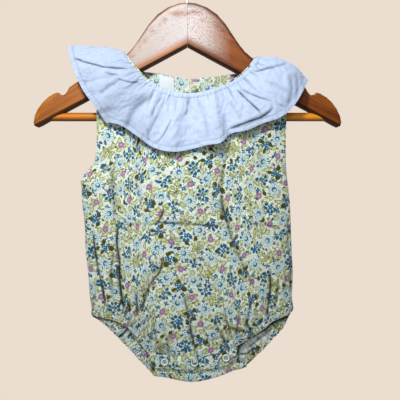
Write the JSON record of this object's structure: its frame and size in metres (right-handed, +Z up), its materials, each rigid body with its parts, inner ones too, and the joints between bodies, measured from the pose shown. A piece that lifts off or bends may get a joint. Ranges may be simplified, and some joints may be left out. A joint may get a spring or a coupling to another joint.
{
  "type": "baby romper on a clothes hanger",
  "caption": "Sleeveless floral baby romper with a white ruffle collar, hanging on a wooden clothes hanger with a bar.",
  "frame": {"origin": "inside top of the hanger's hook, where a rail holds it", "axes": "+Z up, -Y the garment's front, +X to the right of someone who looks at the front"},
  "size_m": [0.3826, 0.0619, 0.5334],
  "materials": {
    "floral_cotton": "matt woven cotton with a small flower print",
    "white_cotton": "matt thin white cotton",
    "label_satin": "blank white satin tape",
    "clear_plastic": "milky white plastic",
    "varnished_wood": "glossy orange-brown varnish",
    "bar_wood": "glossy orange-brown varnish",
    "hook_steel": "polished plated wire"
  },
  "bodies": {
    "root": {"hanger_half_left": "varnished_wood", "hanger_half_right": "varnished_wood", "hanger_bar": "bar_wood", "hanger_hook": "hook_steel", "front_panel": "floral_cotton", "back_panel": "floral_cotton", "ruffle_collar": "white_cotton", "leg_casing_left": "floral_cotton", "leg_casing_right": "floral_cotton", "crotch_placket_front": "floral_cotton", "crotch_placket_back": "floral_cotton", "snap_1": "clear_plastic", "snap_2": "clear_plastic", "snap_3": "clear_plastic", "back_button": "clear_plastic", "neck_label": "label_satin"}
  },
  "joints": []
}
